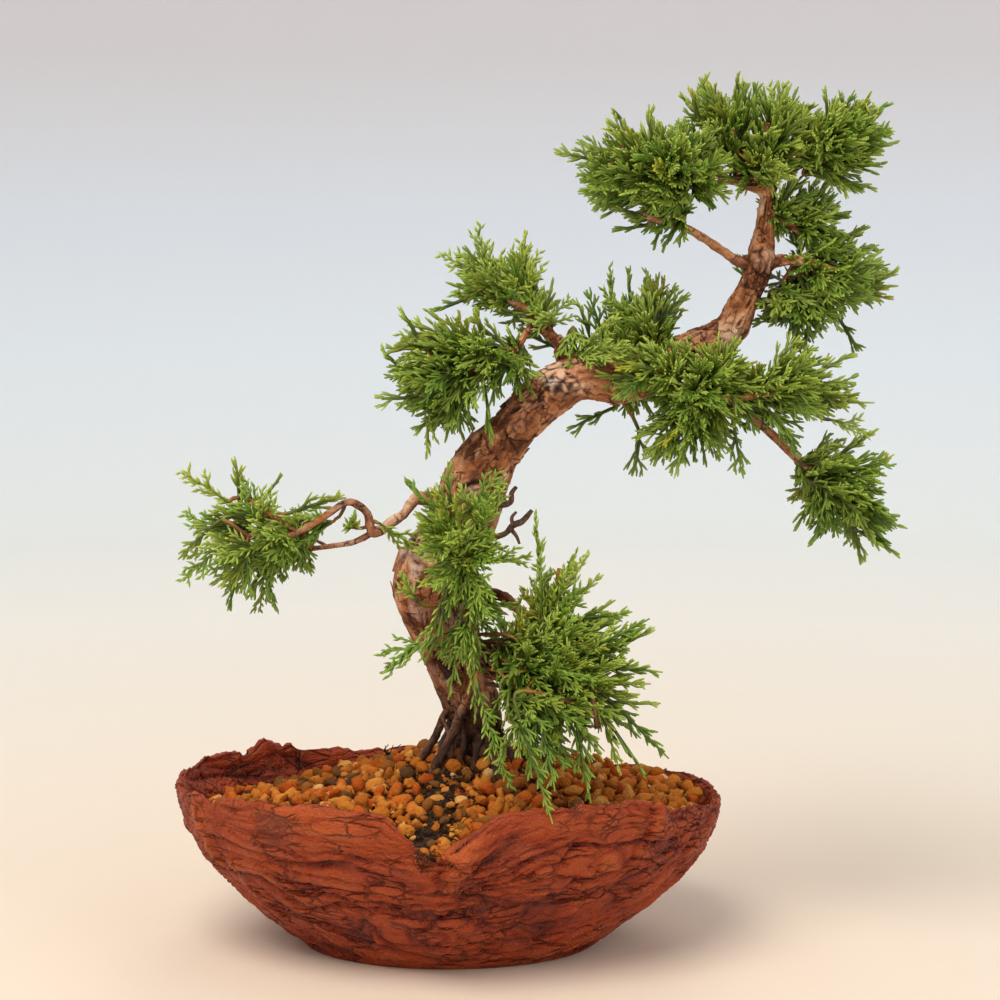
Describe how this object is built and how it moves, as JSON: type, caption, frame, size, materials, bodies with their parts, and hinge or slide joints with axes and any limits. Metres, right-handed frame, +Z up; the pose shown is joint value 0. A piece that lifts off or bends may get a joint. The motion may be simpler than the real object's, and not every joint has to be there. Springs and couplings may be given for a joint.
{
  "type": "bonsai tree in a pot",
  "caption": "Bonsai juniper with an S-shaped trunk and cloud-like masses of scale-leaved foliage, rooted in gritty soil in an oval hand-formed bowl with bark-like ridges.",
  "frame": {"origin": "centre of the pot's foot, on the surface it stands on", "axes": "+Z up, -Y the front, +X to the viewer's right"},
  "size_m": [0.2364, 0.1363, 0.284],
  "materials": {
    "stoneware": "satin",
    "grit": "matte",
    "peat": "matte",
    "bark": "matte",
    "dead_wood": "matte",
    "foliage": "matte"
  },
  "bodies": {
    "root": {"pot": "stoneware", "soil": "grit", "peat_band": "peat", "trunk": "bark", "stem_low_left": "bark", "stem_mid_left": "bark", "stem_back": "bark", "stem_mid_right": "bark", "stem_hanging_right": "bark", "stem_right_upper": "bark", "stem_crown_low_left": "bark", "stem_crown_left": "bark", "stem_crown_right": "bark", "stem_crown_upper_right": "bark", "stem_low_right": "bark", "stem_trunk_front": "bark", "dead_stub_upper": "dead_wood", "dead_stub_lower": "dead_wood", "foliage_crown_left": "foliage", "foliage_crown_top": "foliage", "foliage_crown_right": "foliage", "foliage_right_upper": "foliage", "foliage_mid_left_upper": "foliage", "foliage_mid_left_lower": "foliage", "foliage_mid_centre": "foliage", "foliage_mid_right": "foliage", "foliage_hanging_right": "foliage", "foliage_low_left": "foliage", "foliage_trunk_front": "foliage", "foliage_low_right": "foliage"}
  },
  "joints": []
}
